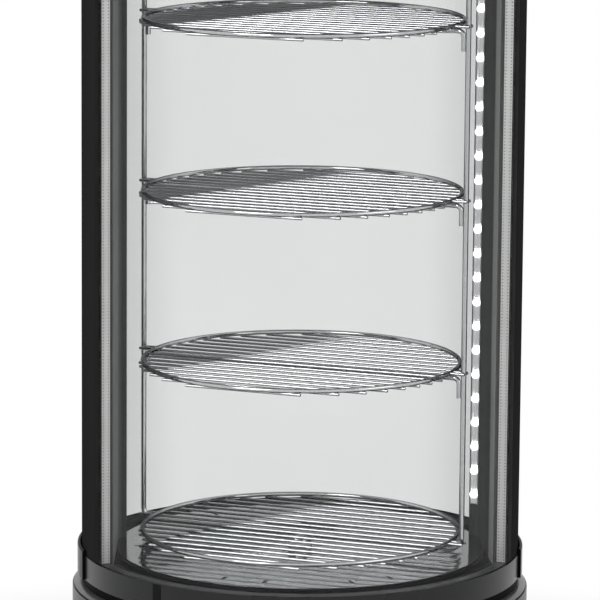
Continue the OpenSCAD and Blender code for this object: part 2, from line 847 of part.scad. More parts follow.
// The aluminium frame between the panes
module pane_spacer() {
    bar_h = 8;
    strip_a = 1.6;
    low_z = floor_z - 0.5 - bar_h;
    r1 = inner_pane_r + 0.2;
    r2 = cavity_r - 0.2;
    high_z = floor_z + ceiling_z - low_z;
    color("#c9c9c6") difference() {
        wall(r1, r2, low_z, high_z, 180 + glass_edge_a, 360 - glass_edge_a);
        wall(r1 - 1, r2 + 1, low_z + bar_h, high_z - bar_h,
            180 + glass_edge_a + strip_a, 360 - glass_edge_a - strip_a);
    }
}

module post() {
    translate([0, 0, glass_z]) linear_extrude(height = ceiling_z - floor_z + 2 * glass_seat) difference() {
        post_plan();
        translate(polar(glass_r - 16, 0)) circle(r = 8);
    }
}

// The frame of the slanted face on the right post: X out of the face, Y along it
module light_face() {
    back = polar(post_in_r, post_back_a - 1.6);
    middle = back + post_face_w / 2 * [cos(45), -sin(45)];
    translate([middle[0], middle[1], 0]) rotate([0, 0, 225]) children();
}

led_low_z = floor_z + led_1_h - led_pitch / 2;
led_top_z = floor_z + led_1_h + (led_count - 0.5) * led_pitch;

module left_post() {
    color("#1c1d1f") mirror([1, 0, 0]) post();
}

module right_post() {
    color("#1c1d1f") difference() {
        post();
        light_face() translate([-led_depth, -led_w / 2 - fit / 2, led_low_z - fit])
            cube([led_depth + 5, led_w + fit, led_top_z - led_low_z + 2 * fit]);
    }
}

module led_profile() {
    wall_t = 1;
    color("#cfd2d4") light_face() difference() {
        translate([-led_depth, -led_w / 2, led_low_z]) cube([led_depth, led_w, led_top_z - led_low_z]);
        translate([-led_depth + wall_t, -led_w / 2 + wall_t, led_low_z - 1])
            cube([led_depth, led_w - 2 * wall_t, led_top_z - led_low_z + 2]);
    }
}

module led_chips() {
    color("#ffffff") light_face() for (i = [0 : led_count - 1])
        translate([-led_depth + 1, -chip_w / 2, floor_z + led_1_h + i * led_pitch - chip_w / 2])
            cube([1.6, chip_w, chip_w]);
}

module top_deck() {
    color("#141414") at_top() deck();
}

module ceiling_plate() {
    color("#d0d2d4") at_top() difference() {
        band(bush_neck_r + fit, plate_r, floor_z - plate_t, floor_z);
        post_notches();
    }
}

// Foam above the ceiling, with a pocket over the rack's pivot
module top_insulation() {
    wall_r = ring_in_r - fit;
    color("#e6e3da") at_top() difference() {
        rotate_extrude() {
            translate([0, rim_z]) square([wall_r, rim_h - tub_flange_t]);
            translate([0, apron_z - tub_flange_t]) square([tub_flange_r, tub_flange_t]);
            translate([0, apron_z - 1]) square([deck_in_r - fit, floor_z - plate_t - apron_z + 1]);
        }
        translate([0, 0, floor_z - plate_t - 6]) cylinder(r = bush_neck_r + 2, h = 10);
        post_notches();
    }
}

module top_apron() {
    color("#505356") at_top() apron_sheet(180 + apron_edge_a, 360 - apron_edge_a);
}

module top_ring() {
    color("#111111") difference() {
        at_top() rotate_extrude() {
            rim_section(rim_r);
            polygon([[ring_in_r, case_top_z], [case_r - 3.5, case_top_z], [case_r - 3.5, shoulder_z],
                [case_r - 1, shoulder_z], [apron_r + 0.5, rim_z], [ring_in_r, rim_z]]);
        }
        screw_places() translate([0, 0, cap_z - screw_seat]) cylinder(r = screw_r + 0.05, h = 20, $fn = 48);
    }
}

cap_z = floor_z + ceiling_z - case_top_z;

module cap_profile(r, h, edge) {
    square([r - edge, h]);
    square([r, h - edge]);
    translate([r - edge, h - edge]) circle(r = edge);
}

// A rounded lid with an inward flange that rests on the top ring
module top_cap() {
    color("#3a3b3d") translate([0, 0, cap_z]) difference() {
        rotate_extrude() difference() {
            cap_profile(case_r, cap_h, cap_round);
            translate([0, case_t]) cap_profile(case_r - case_t, cap_h - 2 * case_t, cap_round - case_t);
            translate([-1, -1]) square([ring_in_r + 3, case_t + 2]);
        }
        screw_places() translate([0, 0, -1]) cylinder(r = screw_r + 0.2, h = cap_h + 2, $fn = 48);
    }
}

module screw_places() {
    for (a = [45 : 90 : 315]) rotate([0, 0, a]) translate([screw_ring_r, 0, 0]) children();
}

// Four long screws through the lid into the top ring
module cap_screws() {
    head_r = 4;
    head_h = 2;
    color("#b5b7b9") screw_places() {
        translate([0, 0, cap_z + cap_h]) cylinder(r = head_r, h = head_h, $fn = 48);
        translate([0, 0, cap_z - screw_seat]) cylinder(r = screw_r, h = screw_seat + cap_h + 0.5, $fn = 48);
    }
}

// The pins that the door turns on, one in each deck
module hinge_pins() {
    color("#aeb1b4") for (top = [0, 1]) translate([0, 0, top * (floor_z + ceiling_z)])
        mirror([0, 0, top]) rotate([0, 0, hinge_a]) translate([door_mid_r, 0, sill_z - 12])
            cylinder(r = hinge_pin_r, h = pin_l);
}

module door_pane(r) {
    lap = 2;
    wall(r - door_pane_t, r, door_z + door_channel_h - lap, door_top_z - door_channel_h + lap,
        stile_in_a, hinge_in_a);
}

module door_outer_pane() {
    color("#dfeceb", 0.25) door_pane(door_r - 1);
}

module door_inner_pane() {
    color("#dfeceb", 0.25) door_pane(door_in_r + 1 + door_pane_t);
}

// The thin channels that hold the door's panes at the bottom and the top
module door_channels() {
    lap = 2;
    color("#1a1a1a") for (top = [0, 1]) translate([0, 0, top * (floor_z + ceiling_z)])
        mirror([0, 0, top]) difference() {
            wall(door_in_r, door_r, door_z, door_z + door_channel_h, stile_in_a, hinge_in_a);
            for (r = [door_r - 1, door_in_r + 1 + door_pane_t])
                wall(r - door_pane_t - 0.1, r + 0.1, door_z + door_channel_h - lap,
                    door_z + door_channel_h + 1, stile_in_a - 1, hinge_in_a + 1);
        }
}

// The stile with a rounded back, which turns on the hinge pins
module door_hinge_stile() {
    bore_l = pin_l - 12 - door_gap + 0.5;
    color("#1a1a1a") difference() {
        union() {
            rotate([0, 0, hinge_a]) translate([door_mid_r, 0, 0]) rotate([0, 0, 40])
                upright_rod(door_t / 2 - 0.4, door_z, door_top_z);
            wall(door_in_r, door_r, door_z, door_top_z, hinge_in_a, hinge_a - 0.25);
        }
        rotate([0, 0, hinge_a]) translate([door_mid_r, 0, 0]) {
            upright_rod(hinge_pin_r + running, door_z - 1, door_z + bore_l);
            upright_rod(hinge_pin_r + running, door_top_z - bore_l, door_top_z + 1);
        }
    }
}

module door_free_stile() {
    color("#1a1a1a") wall(door_in_r, door_r, door_z, door_top_z, free_edge_a, stile_in_a);
}

// A soft strip on the free stile that closes the gap to the post
module door_gasket() {
    strip_a = 0.35;
    color("#2a2a2a") wall(door_in_r + 1, door_in_r + 6, door_z + 2, door_top_z - 2,
        free_edge_a - strip_a, free_edge_a);
}

module door_handle() {
    stem_z = handle_l / 2 - 12;
    color("#c8cacc") rotate([0, 0, handle_a]) translate([0, 0, handle_z]) {
        translate([handle_r, 0, 0]) {
            upright_rod(grip_r, -handle_l / 2, handle_l / 2);
            sphere_end(handle_l / 2);
            sphere_end(-handle_l / 2);
        }
        for (z = [-stem_z, stem_z]) translate([0, 0, z]) rod_x(stem_r, door_r, handle_r, $fn = 48);
        for (z = [-stem_z, stem_z]) translate([0, 0, z]) intersection() {
            rod_x(stem_r + 2, door_r, door_r + 3, $fn = 48);
            rod_x(20, door_r - 1, door_r + 3, $fn = 48);
        }
    }
}

module sphere_end(z) {
    translate([0, 0, z]) sphere(r = grip_r);
}

// A quarter bend that joins a run along X to a run down or up
module corner_bend(wire_r, r) {
    rotate([90, 0, 0]) rotate([0, 0, -90]) rotate_extrude(angle = 90) translate([r, 0]) circle(r = wire_r, $fn = 40);
}

// One loop of wire: two uprights, the bar under the lowest shelf and the bar at the top
module rack_loop() {
    wire_r = upright_d / 2;
    straight_x = upright_r - bend_r;
    for (z = [bar_z, top_bar_z]) translate([0, 0, z]) rod_x(wire_r, -straight_x, straight_x, $fn = 40);
    both_sides() {
        translate([upright_r, 0, 0]) cylinder_between(wire_r, bar_z + bend_r, top_bar_z - bend_r);
        translate([straight_x, 0, bar_z + bend_r]) corner_bend(wire_r, bend_r);
        translate([straight_x, 0, top_bar_z - bend_r]) mirror([0, 0, 1]) corner_bend(wire_r, bend_r);
    }
}

module cylinder_between(r, z1, z2) {
    translate([0, 0, z1]) cylinder(r = r, h = z2 - z1, $fn = 40);
}

function ring_z(level) = floor_z + shelf_1_h + (level - 1) * shelf_pitch;

// The rod under a shelf: its ends bend down and are welded along the uprights
module cross_rod(level) {
    rod_r = rod_d / 2;
    rod_bend = 6;
    leg = 14;
    end_x = upright_r - upright_d / 2 - rod_r + weld;
    rod_z = ring_z(level) - ring_d / 2 - rest_gap - rod_r;
    translate([0, 0, rod_z]) rod_x(rod_r, -end_x + rod_bend, end_x - rod_bend, $fn = 40);
    both_sides() {
        translate([end_x - rod_bend, 0, rod_z - rod_bend]) mirror([0, 0, 1]) corner_bend(rod_r, rod_bend);
        translate([end_x, 0, 0]) cylinder_between(rod_r, rod_z - rod_bend - leg, rod_z - rod_bend);
    }
}

// The welded wire frame, with the hub that sits on the drive shaft and the pivot at the top
module rack_frame() {
    hub_top_z = bar_z - 0.3;
    color("#cfd3d6") rotate([0, 0, -rack_turn]) difference() {
        union() {
            rack_loop();
            for (level = [2 : shelf_count]) cross_rod(level);
            cylinder_between(hub_r, hub_z, hub_top_z);
            cylinder_between(shaft_r, top_bar_z, ceiling_z + plate_t - 0.3);
            cylinder_between(6, top_bar_z, ceiling_z - bush_flange_h - thrust_gap);
        }
        translate([0, 0, hub_z - 1]) cylinder(r = shaft_r + 0.02, h = socket_h + 1);
    }
}

// A round wire shelf: the ring, the grid welded under it and a fork at each upright
module shelf(level) {
    ring_r = ring_d / 2;
    wire_r = grid_d / 2;
    prong_r = 1.6;
    prong_y = upright_d / 2 + 0.35 + prong_r;
    half = floor((shelf_r - 4) / grid_pitch - 0.5);
    color("#cfd3d6") rotate([0, 0, -rack_turn]) translate([0, 0, ring_z(level)]) {
        rotate_extrude() translate([shelf_r, 0]) circle(r = ring_r, $fn = 40);
        for (i = [-half - 1 : half]) {
            y = (i + 0.5) * grid_pitch;
            end_x = sqrt(pow(shelf_r + ring_r + 1, 2) - pow(abs(y) - wire_r, 2));
            translate([0, y, -ring_r - wire_r + weld]) rod_x(wire_r, -end_x, end_x, $fn = 32);
        }
        for (x = [0, 1], y = [-prong_y, prong_y]) mirror([x, 0, 0]) translate([0, y, 0])
            rod_x(prong_r, shelf_r - 0.5, upright_r + upright_d / 2, $fn = 32);
    }
}

module shelf_1() {
    shelf(1);
}

module shelf_2() {
    shelf(2);
}

module shelf_3() {
    shelf(3);
}

module shelf_4() {
    shelf(4);
}

module drive_shaft() {
    color("#9da0a3") translate([0, 0, floor_z - plate_t - 20 + fit])
        cylinder(r = shaft_r, h = 20 - fit + plate_t + bush_flange_h + thrust_gap + socket_h);
}

feet();
base_pan();
base_casing();
rear_grille();
control_panel();
power_inlet();
shoulder_ring();
base_rim();
base_deck();
cold_tub();
floor_plate();
rack_bushes();
rack_motor();
evaporator();
evaporator_fan_housing();
compressor();
compressor_mounts();
condenser();
condenser_fan_frame();
refrigerant_pipes();
control_box();
apron_left();
apron_front();
corner_covers();
outer_pane();
inner_pane();
pane_spacer();
left_post();
right_post();
led_profile();
led_chips();
top_deck();
ceiling_plate();
top_insulation();
top_apron();
top_ring();
top_cap();
cap_screws();
hinge_pins();
door_outer_pane();
door_inner_pane();
door_channels();
door_hinge_stile();
door_free_stile();
door_handle();
door_gasket();
rack_frame();
shelf_1();
shelf_2();
shelf_3();
shelf_4();
drive_shaft();
condenser_fan_blades();
evaporator_fan_wheel();
power_switch();
light_switch();
button_set();
button_up();
button_down();
drip_tray();
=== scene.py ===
import json
import math

import bpy
from bpy.props import FloatProperty, FloatVectorProperty, IntProperty, PointerProperty
from mathutils import Matrix, Vector

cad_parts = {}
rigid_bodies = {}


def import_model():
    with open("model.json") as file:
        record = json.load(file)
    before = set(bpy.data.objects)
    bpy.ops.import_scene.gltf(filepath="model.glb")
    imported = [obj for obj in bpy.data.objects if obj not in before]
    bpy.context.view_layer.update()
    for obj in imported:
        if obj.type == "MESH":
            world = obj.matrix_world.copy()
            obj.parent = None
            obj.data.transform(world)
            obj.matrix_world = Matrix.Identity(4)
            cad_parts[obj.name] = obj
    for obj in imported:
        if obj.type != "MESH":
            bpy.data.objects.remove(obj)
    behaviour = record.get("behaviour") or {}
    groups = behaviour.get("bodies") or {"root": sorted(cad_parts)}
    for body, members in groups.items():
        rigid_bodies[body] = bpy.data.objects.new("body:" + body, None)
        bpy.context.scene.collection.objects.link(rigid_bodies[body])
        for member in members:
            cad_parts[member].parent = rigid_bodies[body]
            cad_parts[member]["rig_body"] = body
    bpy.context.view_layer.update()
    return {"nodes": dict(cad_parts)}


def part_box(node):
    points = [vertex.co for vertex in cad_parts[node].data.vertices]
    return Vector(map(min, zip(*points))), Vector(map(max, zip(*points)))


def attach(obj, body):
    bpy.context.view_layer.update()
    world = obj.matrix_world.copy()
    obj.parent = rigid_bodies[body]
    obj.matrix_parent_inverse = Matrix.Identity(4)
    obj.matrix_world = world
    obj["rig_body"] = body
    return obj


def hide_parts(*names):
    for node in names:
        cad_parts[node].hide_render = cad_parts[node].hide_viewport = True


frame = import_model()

bl_info = {
    "name": "Round display case",
    "version": (1, 0, 0),
    "blender": (4, 5, 0),
    "location": "View3D > Sidebar > Display case",
    "description": "Builds a round refrigerated display case over its packed frame",
    "category": "Object",
}

NODES = frame["nodes"]

# Places that the frame's own nodes give, in metres.
FLOOR_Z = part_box("floor_plate")[1].z
CEILING_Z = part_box("ceiling_plate")[0].z
SILL_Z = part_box("base_deck")[1].z
GLASS_R = -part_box("outer_pane")[0].y
LIGHT_CENTRE = (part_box("led_chips")[0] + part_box("led_chips")[1]) / 2
LIGHT_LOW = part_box("led_profile")[0].z
LIGHT_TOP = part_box("led_profile")[1].z

# Sizes and bearings that no box gives, in metres and radians.
CLEAR_R = GLASS_R - 0.019               # where the chamber inside both panes begins
RACK_TURN = math.radians(-24.8)
LIGHT_BEARING = math.radians(225)       # the way the light strip faces
LIGHT_PITCH = 0.025
WELD = 0.00001                          # points closer than this are one

# Finishes: how fine each grain is next to the tones' own, and how deep the relief goes.
ROUGH_GRAIN = 0.35
RELIEF_GRAIN = 6
RELIEF_DEPTH = 0.0002
COAT_ROUGHNESS = 0.1
EVEN = (1, 1, 1)
BRUSHED = (1, 1, 0.1)
DRAWN = (1, 1, 0.03)


# ---------------------------------------------------------------- material nodes


def empty_material(name):
    material = bpy.data.materials.new(name)
    material.use_nodes = True
    tree = material.node_tree
    tree.nodes.clear()
    return material, tree, tree.nodes.new("ShaderNodeOutputMaterial")


def new_material(name):
    material, tree, output = empty_material(name)
    shader = tree.nodes.new("ShaderNodeBsdfPrincipled")
    tree.links.new(shader.outputs["BSDF"], output.inputs["Surface"])
    return material, tree, shader


def mix_shaders(tree, factor, first, second, output):
    """Shows the first shader at 0 and the second at 1."""
    mixed = tree.nodes.new("ShaderNodeMixShader")
    tree.links.new(factor, mixed.inputs["Fac"])
    tree.links.new(first, mixed.inputs[1])
    tree.links.new(second, mixed.inputs[2])
    tree.links.new(mixed.outputs["Shader"], output.inputs["Surface"])


def own_point(tree):
    """The point's place in the piece's own coordinates."""
    return tree.nodes.new("ShaderNodeTexCoord").outputs["Object"]


def own_axis(tree, letter):
    parts = tree.nodes.new("ShaderNodeSeparateXYZ")
    tree.links.new(own_point(tree), parts.inputs["Vector"])
    return parts.outputs[letter]


def grain(tree, scale, detail=3.0, stretch=EVEN):
    """Noise in the piece's own coordinates, stretched along its grain."""
    mapping = tree.nodes.new("ShaderNodeMapping")
    mapping.inputs["Scale"].default_value = stretch
    tree.links.new(own_point(tree), mapping.inputs["Vector"])
    noise = tree.nodes.new("ShaderNodeTexNoise")
    noise.inputs["Scale"].default_value = scale
    noise.inputs["Detail"].default_value = detail
    tree.links.new(mapping.outputs["Vector"], noise.inputs["Vector"])
    return noise.outputs["Fac"]


def between(tree, factor, low, high, start=0.3, end=0.7):
    """Maps start..end to low..high, and holds the ends."""
    node = tree.nodes.new("ShaderNodeMapRange")
    node.inputs["From Min"].default_value = start
    node.inputs["From Max"].default_value = end
    node.inputs["To Min"].default_value = low
    node.inputs["To Max"].default_value = high
    tree.links.new(factor, node.inputs["Value"])
    return node.outputs["Result"]


def fade_in(tree, value, start, end):
    return between(tree, value, 0.0, 1.0, start, end)


def fade_out(tree, value, start, end):
    return between(tree, value, 1.0, 0.0, start, end)


def reckon(tree, operation, first, second=None):
    """One sum on one or two numbers, each a socket or a constant."""
    node = tree.nodes.new("ShaderNodeMath")
    node.operation = operation
    for index, value in enumerate((first, second)):
        if value is None:
            continue
        if isinstance(value, (int, float)):
            node.inputs[index].default_value = value
        else:
            tree.links.new(value, node.inputs[index])
    return node.outputs["Value"]


def reckon_vector(tree, operation, vector, other=None):
    """One sum on a vector, alone or with a constant one."""
    node = tree.nodes.new("ShaderNodeVectorMath")
    node.operation = operation
    tree.links.new(vector, node.inputs[0])
    if other is not None:
        node.inputs[1].default_value = other
    return node.outputs["Value" if operation in ("LENGTH", "DOT_PRODUCT") else "Vector"]


def flat_length(tree, first, second):
    """The distance that two steps at right angles cover."""
    squares = [reckon(tree, "MULTIPLY", step, step) for step in (first, second)]
    return reckon(tree, "SQRT", reckon(tree, "ADD", *squares))


def axis_distance(tree):
    """How far a point of the piece lies from the case's upright axis."""
    flat = reckon_vector(tree, "MULTIPLY", own_point(tree), (1, 1, 0))
    return reckon_vector(tree, "LENGTH", flat)


def turned_away(tree, blend):
    """0 where the surface faces the viewer, 1 where it is seen edge on."""
    facing = tree.nodes.new("ShaderNodeLayerWeight")
    facing.inputs["Blend"].default_value = blend
    return facing.outputs["Facing"]


def blend_colours(tree, factor, first, second):
    node = tree.nodes.new("ShaderNodeMix")
    node.data_type = "RGBA"
    for label, colour in (("A", first), ("B", second)):
        if isinstance(colour, tuple):
            node.inputs[label].default_value = (*colour, 1)
        else:
            tree.links.new(colour, node.inputs[label])
    tree.links.new(factor, node.inputs["Factor"])
    return node.outputs["Result"]


def scaled(tone, factor):
    return tuple(channel * factor for channel in tone)


def surface(tree, shader, colour, roughness, metal=0.0):
    tree.links.new(colour, shader.inputs["Base Color"])
    tree.links.new(roughness, shader.inputs["Roughness"])
    shader.inputs["Metallic"].default_value = metal


def bump(tree, shader, relief, strength, distance=RELIEF_DEPTH):
    node = tree.nodes.new("ShaderNodeBump")
    node.inputs["Strength"].default_value = strength
    node.inputs["Distance"].default_value = distance
    tree.links.new(relief, node.inputs["Height"])
    tree.links.new(node.outputs["Normal"], shader.inputs["Normal"])


# ---------------------------------------------------------------- finishes


def finish_material(name, dark, light, rough, metal=0.0, scale=60.0, stretch=EVEN, relief=0.1,
                    coat=0.0, specular=0.5):
    """A finish with two close tones, uneven roughness and a fine relief."""
    material, tree, shader = new_material(name)
    tones = blend_colours(tree, grain(tree, scale, 4.0, stretch), dark, light)
    uneven = between(tree, grain(tree, scale * ROUGH_GRAIN, 3.0, stretch), *rough)
    surface(tree, shader, tones, uneven, metal)
    shader.inputs["Specular IOR Level"].default_value = specular
    if coat:
        shader.inputs["Coat Weight"].default_value = coat
        shader.inputs["Coat Roughness"].default_value = COAT_ROUGHNESS
    bump(tree, shader, grain(tree, scale * RELIEF_GRAIN, 2.0, stretch), relief)
    return material


def turned_metal(name, dark, light, rough):
    """Metal turned on a lathe: fine circles round the case's own axis."""
    ring_scale, cloud_scale = 900.0, 9.0
    material, tree, shader = new_material(name)
    rings = tree.nodes.new("ShaderNodeTexNoise")
    rings.noise_dimensions = "1D"
    rings.inputs["Scale"].default_value = ring_scale
    rings.inputs["Detail"].default_value = 2.0
    tree.links.new(axis_distance(tree), rings.inputs["W"])
    cloud = grain(tree, cloud_scale)
    tones = blend_colours(tree, reckon(tree, "MULTIPLY", rings.outputs["Fac"], cloud), dark, light)
    surface(tree, shader, tones, between(tree, cloud, *rough), 1.0)
    return material


def glass_material(name, tint, far_tint, mirror):
    """Thin clear glass: each face lets light straight through and mirrors more at a slant."""
    haze, steepness = 0.015, 5.0
    slant_start, slant_end, slant_tone = 0.20, 0.42, 0.968
    material, tree, output = empty_material(name)
    clear = tree.nodes.new("ShaderNodeBsdfTransparent")
    gloss = tree.nodes.new("ShaderNodeBsdfGlossy")
    gloss.inputs["Roughness"].default_value = haze
    slant = turned_away(tree, 0.5)
    mirrored = between(tree, reckon(tree, "POWER", slant, steepness), *mirror, 0.0, 1.0)
    tones = blend_colours(tree, fade_in(tree, grain(tree, 3.0, 2.0), 0.3, 0.7), tint, far_tint)
    aslant = fade_in(tree, slant, slant_start, slant_end)
    seen_through = blend_colours(tree, aslant, tones, scaled(tint, slant_tone))
    tree.links.new(seen_through, clear.inputs["Color"])
    mix_shaders(tree, mirrored, clear.outputs["BSDF"], gloss.outputs["BSDF"], output)
    return material


def shared(make):
    """A material that several steps use, made once and named after its function."""
    name = make.__name__.replace("_", " ")
    return bpy.data.materials.get(name) or make(name)


def black_moulding(name):
    black = tuple(bpy.context.scene.case_finish.black)
    return finish_material(name, black, scaled(black, 1.6), (0.35, 0.48), scale=50, relief=0.06,
                           specular=0.005)


def black_enamel(name):
    return finish_material(name, (0.004, 0.004, 0.0045), (0.007, 0.007, 0.0075), (0.12, 0.20),
                           scale=40, relief=0.02, specular=0.008)


def zinc_sheet(name):
    return finish_material(name, (0.42, 0.43, 0.44), (0.55, 0.56, 0.57), (0.4, 0.55), metal=1,
                           scale=25)


def foot_rubber(name):
    return finish_material(name, (0.012, 0.012, 0.012), (0.02, 0.02, 0.02), (0.6, 0.75),
                           relief=0.3, specular=0.3)


def satin_enamel(name):
    tone = tuple(bpy.context.scene.case_finish.enamel)
    return finish_material(name, tone, scaled(tone, 1.15), (0.35, 0.39), scale=30, relief=0.05,
                           specular=0.30)


def graphite_paint(name):
    tone = tuple(bpy.context.scene.case_finish.graphite)
    return finish_material(name, tone, scaled(tone, 1.3), (0.24, 0.34), scale=40, relief=0.05,
                           specular=0.22)


def black_profile(name):
    """Black anodised aluminium, drawn lengthwise, and black in the rebate that holds a pane's edge.
    Its inner faces are paler than its outer face, a painted sheen, and next to the front glass
    they carry a painted reflection: a paler grey that stands in for the mirror image in glossy
    black."""
    towards_back = (0.203, 1.0, 0)
    front_start, front_end = -0.007, 0.002
    rebate_start, rebate_end = GLASS_R - 0.0100, GLASS_R - 0.0090
    face_start, face_end = GLASS_R - 0.0009, GLASS_R - 0.0003
    material, tree, shader = new_material(name)
    drawn = grain(tree, 24, 4.0, DRAWN)
    outside = blend_colours(tree, drawn, (0.017, 0.017, 0.0175), (0.025, 0.025, 0.0255))
    # inner faces: painted sheen, paler than the outer face
    inside = blend_colours(tree, drawn, (0.046, 0.046, 0.0465), (0.061, 0.061, 0.0615))
    # next to the front glass: painted reflection, a paler grey standing in for the mirror image in
    # glossy black
    painted_glass_reflection = blend_colours(tree, drawn, (0.310, 0.310, 0.312), (0.390, 0.390, 0.392))
    out = axis_distance(tree)
    back = reckon_vector(tree, "DOT_PRODUCT", own_point(tree), towards_back)
    inner = blend_colours(tree, fade_out(tree, back, front_start, front_end), inside, painted_glass_reflection)
    in_rebate = fade_in(tree, out, rebate_start, rebate_end)
    lined = blend_colours(tree, in_rebate, inner, (0.002, 0.002, 0.002))
    tones = blend_colours(tree, fade_in(tree, out, face_start, face_end), lined, outside)
    surface(tree, shader, tones, between(tree, drawn, 0.30, 0.40))
    shader.inputs["Specular IOR Level"].default_value = 0.0
    bump(tree, shader, grain(tree, 144, 2.0, DRAWN), 0.02)
    return material


# ---------------------------------------------------------------- making pieces


def only(piece):
    bpy.ops.object.select_all(action="DESELECT")
    piece.select_set(True)
    bpy.context.view_layer.objects.active = piece


def shaped(piece):
    """Opens a piece in edit mode with everything selected."""
    only(piece)
    bpy.ops.object.mode_set(mode="EDIT")
    bpy.ops.mesh.select_all(action="SELECT")


def closed():
    bpy.ops.object.mode_set(mode="OBJECT")


def round_edges(piece, width, segments=2, limit=38):
    """Rounds the edges of a piece that are sharper than the limit, in degrees."""
    only(piece)
    bpy.ops.object.modifier_add(type="BEVEL")
    bevel = piece.modifiers[-1]
    bevel.width = width
    bevel.segments = segments
    bevel.limit_method = "ANGLE"
    bevel.angle_limit = math.radians(limit)
    bevel.use_clamp_overlap = True
    bpy.ops.object.modifier_apply(modifier=bevel.name)


def settle(piece, name, body, material, nodes=(), angle=32):
    """Puts a piece's place into its mesh, names it and ties it to the frame."""
    only(piece)
    bpy.ops.object.transform_apply(location=True, rotation=True, scale=True)
    piece.name = name
    piece.data.name = name
    piece.data.materials.clear()
    piece.data.materials.append(material)
    bpy.ops.object.shade_smooth_by_angle(angle=math.radians(angle))
    bpy.ops.object.modifier_add(type="WEIGHTED_NORMAL")
    normals = piece.modifiers[-1]
    normals.keep_sharp = True
    bpy.ops.object.modifier_apply(modifier=normals.name)
    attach(piece, body)
    if nodes:
        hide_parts(*nodes)
    return piece


def finished_copy(node, material, width=0.0005, segments=2, angle=32):
    """A merged copy of a CAD node with rounded edges, which stands for the node."""
    piece = bpy.data.objects.new(node + "_finish", NODES[node].data.copy())
    bpy.context.scene.collection.objects.link(piece)
    shaped(piece)
    bpy.ops.mesh.remove_doubles(threshold=WELD)
    closed()
    if width:
        round_edges(piece, width, segments)
    return settle(piece, node + "_finish", NODES[node]["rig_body"], material, (node,), angle)


def cover(material, *names):
    """Gives CAD nodes a material."""
    for name in names:
        NODES[name].data.materials.clear()
        NODES[name].data.materials.append(material)


def bar(start, end, radius):
    """A round bar from one point to another, with softened ends."""
    start, end = Vector(start), Vector(end)
    bpy.ops.object.select_all(action="DESELECT")
    bpy.ops.mesh.primitive_cylinder_add(
        vertices=12, radius=radius, depth=(end - start).length, location=(start + end) / 2,
        rotation=(end - start).to_track_quat("Z", "Y").to_euler())
    piece = bpy.context.active_object
    round_edges(piece, 0.0004, 2, 60)
    return piece


def slab(low, high, soft):
    """A block between two corners, with rounded edges."""
    low, high = Vector(low), Vector(high)
    bpy.ops.object.select_all(action="DESELECT")
    bpy.ops.mesh.primitive_cube_add(size=1, location=(low + high) / 2)
    piece = bpy.context.active_object
    piece.scale = high - low
    bpy.ops.object.transform_apply(location=True, rotation=False, scale=True)
    round_edges(piece, soft)
    return piece


def joined(pieces):
    bpy.ops.object.select_all(action="DESELECT")
    for piece in pieces:
        piece.select_set(True)
    bpy.context.view_layer.objects.active = pieces[0]
    bpy.ops.object.join()
    return bpy.context.active_object


def upright_band(inner, outer, low, high):
    """The section of a thin upright band, as radius and height points."""
    return [(inner, low), (outer, low), (outer, high), (inner, high)]


def turned(profile, steps, sweep, start):
    """A closed section of radius and height points, swept counter-clockwise round the case's
    axis. Sweep and start are in degrees."""
    bpy.ops.object.select_all(action="DESELECT")
    bpy.ops.mesh.primitive_plane_add(size=0.001)
    piece = bpy.context.active_object
    shaped(piece)
    bpy.ops.mesh.merge(type="CENTER")
    closed()
    place = Matrix.Rotation(math.radians(start), 4, "Z")
    points = [place @ Vector((radius, 0, z)) for radius, z in profile]
    piece.data.vertices[0].co = points[0]
    shaped(piece)
    for before, after in zip(points, points[1:]):
        bpy.ops.mesh.extrude_region_move(TRANSFORM_OT_translate={"value": after - before})
    bpy.ops.mesh.select_all(action="SELECT")
    bpy.ops.mesh.edge_face_add()
    bpy.ops.mesh.spin(steps=steps, angle=-math.radians(sweep), center=(0, 0, 0), axis=(0, 0, 1))
    bpy.ops.mesh.select_all(action="SELECT")
    bpy.ops.mesh.remove_doubles(threshold=WELD)
    bpy.ops.mesh.normals_make_consistent(inside=False)
    closed()
    return piece


# ---------------------------------------------------------------- settings


class CaseFinish(bpy.types.PropertyGroup):
    graphite: FloatVectorProperty(
        name="Graphite", description="Paint of the aprons", subtype="COLOR", size=3,
        default=(0.013, 0.0135, 0.014), min=0, max=1)
    black: FloatVectorProperty(
        name="Black", description="Plastic of the decks, rims and covers", subtype="COLOR", size=3,
        default=(0.004, 0.004, 0.0045), min=0, max=1)
    enamel: FloatVectorProperty(
        name="Enamel", description="Paint of the base and the cap", subtype="COLOR", size=3,
        default=(0.030, 0.031, 0.033), min=0, max=1)
    light_strength: FloatProperty(
        name="Light points", description="Strength of the light points", default=14.0,
        min=0, max=60)


class RackSizes(bpy.types.PropertyGroup):
    wire_pitch: FloatProperty(
        name="Wire pitch", description="Distance between the shelf wires", default=0.018,
        min=0.012, max=0.03, unit="LENGTH")
    wire_radius: FloatProperty(
        name="Wire radius", description="Radius of the shelf wires", default=0.0015,
        min=0.001, max=0.002, unit="LENGTH")
    ring_radius: FloatProperty(
        name="Ring radius", description="Distance of the shelf ring's centre line from the axis",
        default=0.1601, min=0.15, max=0.162, unit="LENGTH")
    ring_thickness: FloatProperty(
        name="Ring thickness", description="Diameter of the shelf ring's wire", default=0.0046,
        min=0.003, max=0.006, unit="LENGTH")
    wires: IntProperty(name="Wires", description="Wires on each shelf", default=18, min=10, max=22)


class StageSettings(bpy.types.PropertyGroup):
    key_power: FloatProperty(
        name="Key light", description="Power of the soft light from the left", default=60.0,
        min=0, subtype="POWER")
    fill_power: FloatProperty(
        name="Fill light", description="Power of the soft light from the right", default=22.0,
        min=0, subtype="POWER")
    world_level: FloatProperty(
        name="World", description="Strength of the light from all round", default=0.55,
        min=0, max=1)
    floor_colour: FloatVectorProperty(
        name="Floor", description="Colour of the plain floor", subtype="COLOR", size=3,
        default=(0.80, 0.80, 0.80), min=0, max=1)


# ---------------------------------------------------------------- operators


